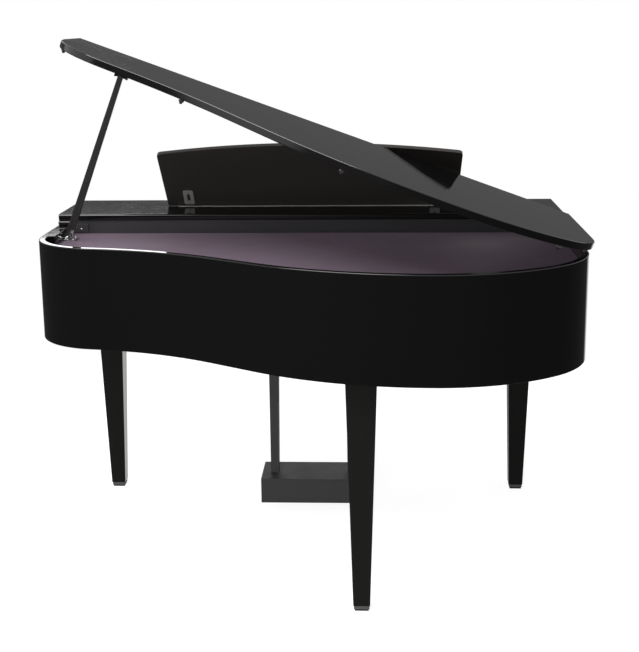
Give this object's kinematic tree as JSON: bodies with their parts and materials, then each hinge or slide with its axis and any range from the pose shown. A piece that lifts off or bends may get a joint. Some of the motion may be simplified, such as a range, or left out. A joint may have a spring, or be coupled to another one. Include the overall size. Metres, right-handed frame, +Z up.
{
  "type": "digital grand piano",
  "caption": "Compact digital grand piano with a bent rim, a lid held open by a folding prop, a full keyboard under a sliding cover, a music desk, a pedal lyre and three tapered legs.",
  "frame": {"origin": "on the floor, under the middle of the piano's bounding box with the lid open", "axes": "+X from the bass end of the keys to the treble end, +Y from the player to the tail, +Z up"},
  "size_m": [1.4422, 1.1978, 1.3857],
  "materials": {
    "black_lacquer": "high gloss black lacquer over board",
    "black_satin": "satin black",
    "grey_panel": "matte purple grey paint",
    "grey_rail": "satin grey paint",
    "grey_metal": "satin grey",
    "key_white": "satin ivory white",
    "key_black": "matte black",
    "bare_wood": "bare plywood",
    "steel": "satin zinc plated",
    "pedal_brass": "polished",
    "glide_grey": "satin grey",
    "dark_plastic": "fine matte texture",
    "circuit_board": "lacquered board",
    "soft_rubber": "matte"
  },
  "bodies": {
    "case": {"bottom_board": "black_satin", "rim": "black_lacquer", "arm_treble": "black_lacquer", "arm_bass": "black_lacquer", "sound_panel": "grey_panel", "rear_rail": "grey_rail", "top_board": "black_lacquer", "keyslip": "black_lacquer", "cheek_treble": "black_lacquer", "cheek_bass": "black_lacquer", "control_panel": "black_lacquer", "key_frame": "bare_wood", "leg_treble": "black_lacquer", "leg_bass": "black_lacquer", "leg_rear": "black_lacquer", "leg_treble_plate": "steel", "leg_bass_plate": "steel", "leg_rear_plate": "steel", "glide_treble": "glide_grey", "glide_bass": "glide_grey", "glide_rear": "glide_grey", "lyre_post_treble": "grey_metal", "lyre_post_bass": "grey_metal", "pedal_box": "black_satin", "pedal_cover": "black_satin", "pedal_axle": "steel", "case_leaf_front": "steel", "case_leaf_rear": "steel", "prop_bracket": "steel", "prop_pin": "steel", "speaker_bass": "dark_plastic", "speaker_treble": "dark_plastic", "amplifier_board": "circuit_board", "socket_box": "dark_plastic"},
    "lid": {"lid": "black_lacquer", "lid_leaf_front": "steel", "lid_leaf_rear": "steel", "prop_cup": "soft_rubber"},
    "prop": {"prop": "black_satin"},
    "music_desk": {"music_desk": "black_lacquer", "desk_stay_treble": "grey_metal", "desk_stay_bass": "grey_metal"},
    "key_cover": {"key_cover": "black_lacquer"},
    "naturals_low": {"naturals_low": "key_white"},
    "sharps_low": {"sharps_low": "key_black"},
    "key_c4": {"key_c4": "key_white"},
    "key_c4_sharp": {"key_c4_sharp": "key_black"},
    "key_d4": {"key_d4": "key_white"},
    "key_d4_sharp": {"key_d4_sharp": "key_black"},
    "key_e4": {"key_e4": "key_white"},
    "naturals_high": {"naturals_high": "key_white"},
    "sharps_high": {"sharps_high": "key_black"},
    "pedal_left": {"pedal_left": "pedal_brass"},
    "pedal_middle": {"pedal_middle": "pedal_brass"},
    "pedal_right": {"pedal_right": "pedal_brass"},
    "power_button": {"power_button": "dark_plastic"},
    "voice_button": {"voice_button": "dark_plastic"},
    "metronome_button": {"metronome_button": "dark_plastic"},
    "volume_knob": {"volume_knob": "dark_plastic"}
  },
  "joints": [
    {"name": "lid_hinge", "type": "hinge", "parent": "case", "child": "lid", "pos_m": [-0.71241, 0.07615, 0.8715], "axis": [0, 1, 0], "range_deg": [0, 20]},
    {"name": "prop_fold", "type": "hinge", "parent": "case", "child": "prop", "pos_m": [0.66489, -0.04245, 0.858], "axis": [-0.7922, 0.3664, 0.488], "range_deg": [0, 158.96]},
    {"name": "music_desk_tilt", "type": "hinge", "parent": "case", "child": "music_desk", "pos_m": [0.00609, -0.30985, 0.8958], "axis": [1, 0, 0], "range_deg": [0, 35]},
    {"name": "key_cover_slide", "type": "slide", "parent": "case", "child": "key_cover", "axis": [0, -1, 0], "range_m": [0, 0.15]},
    {"name": "naturals_low_dip", "type": "hinge", "parent": "case", "child": "naturals_low", "pos_m": [0.00609, -0.34885, 0.7035], "axis": [1, 0, 0], "range_deg": [0, 2.58], "stiffness_Nm_per_rad": 23, "springref_deg": -14.32},
    {"name": "sharps_low_dip", "type": "hinge", "parent": "case", "child": "sharps_low", "pos_m": [0.00609, -0.34885, 0.7035], "axis": [1, 0, 0], "range_deg": [0, 2.58], "stiffness_Nm_per_rad": 16, "springref_deg": -14.32},
    {"name": "key_c4_dip", "type": "hinge", "parent": "case", "child": "key_c4", "pos_m": [0.00609, -0.34885, 0.7035], "axis": [1, 0, 0], "range_deg": [0, 2.58], "stiffness_Nm_per_rad": 1, "springref_deg": -14.32},
    {"name": "key_c4_sharp_dip", "type": "hinge", "parent": "case", "child": "key_c4_sharp", "pos_m": [0.00609, -0.34885, 0.7035], "axis": [1, 0, 0], "range_deg": [0, 2.58], "stiffness_Nm_per_rad": 1, "springref_deg": -14.32},
    {"name": "key_d4_dip", "type": "hinge", "parent": "case", "child": "key_d4", "pos_m": [0.00609, -0.34885, 0.7035], "axis": [1, 0, 0], "range_deg": [0, 2.58], "stiffness_Nm_per_rad": 1, "springref_deg": -14.32},
    {"name": "key_d4_sharp_dip", "type": "hinge", "parent": "case", "child": "key_d4_sharp", "pos_m": [0.00609, -0.34885, 0.7035], "axis": [1, 0, 0], "range_deg": [0, 2.58], "stiffness_Nm_per_rad": 1, "springref_deg": -14.32},
    {"name": "key_e4_dip", "type": "hinge", "parent": "case", "child": "key_e4", "pos_m": [0.00609, -0.34885, 0.7035], "axis": [1, 0, 0], "range_deg": [0, 2.58], "stiffness_Nm_per_rad": 1, "springref_deg": -14.32},
    {"name": "naturals_high_dip", "type": "hinge", "parent": "case", "child": "naturals_high", "pos_m": [0.00609, -0.34885, 0.7035], "axis": [1, 0, 0], "range_deg": [0, 2.58], "stiffness_Nm_per_rad": 26, "springref_deg": -14.32},
    {"name": "sharps_high_dip", "type": "hinge", "parent": "case", "child": "sharps_high", "pos_m": [0.00609, -0.34885, 0.7035], "axis": [1, 0, 0], "range_deg": [0, 2.58], "stiffness_Nm_per_rad": 18, "springref_deg": -14.32},
    {"name": "pedal_left_press", "type": "hinge", "parent": "case", "child": "pedal_left", "pos_m": [-0.05891, -0.19885, 0.06], "axis": [1, 0, 0], "range_deg": [0, 5.5], "stiffness_Nm_per_rad": 8, "springref_deg": -6.88},
    {"name": "pedal_middle_press", "type": "hinge", "parent": "case", "child": "pedal_middle", "pos_m": [0.00609, -0.19885, 0.06], "axis": [1, 0, 0], "range_deg": [0, 5.5], "stiffness_Nm_per_rad": 8, "springref_deg": -6.88},
    {"name": "pedal_right_press", "type": "hinge", "parent": "case", "child": "pedal_right", "pos_m": [0.07109, -0.19885, 0.06], "axis": [1, 0, 0], "range_deg": [0, 5.5], "stiffness_Nm_per_rad": 8, "springref_deg": -6.88},
    {"name": "volume_turn", "type": "hinge", "parent": "case", "child": "volume_knob", "pos_m": [-0.55391, -0.39765, 0.81876], "axis": [0, -0.9397, 0.342], "range_deg": [-135, 135]},
    {"name": "power_button_press", "type": "slide", "parent": "case", "child": "power_button", "axis": [0, 0.9397, -0.342], "range_m": [0, 0.0015], "stiffness_N_per_m": 400, "springref_m": -0.001},
    {"name": "voice_button_press", "type": "slide", "parent": "case", "child": "voice_button", "axis": [0, 0.9397, -0.342], "range_m": [0, 0.0015], "stiffness_N_per_m": 400, "springref_m": -0.001},
    {"name": "metronome_button_press", "type": "slide", "parent": "case", "child": "metronome_button", "axis": [0, 0.9397, -0.342], "range_m": [0, 0.0015], "stiffness_N_per_m": 400, "springref_m": -0.001}
  ],
  "couplings": [
    {"joint": "prop_fold", "follows": "lid_hinge", "ratio": 7.9478}
  ]
}
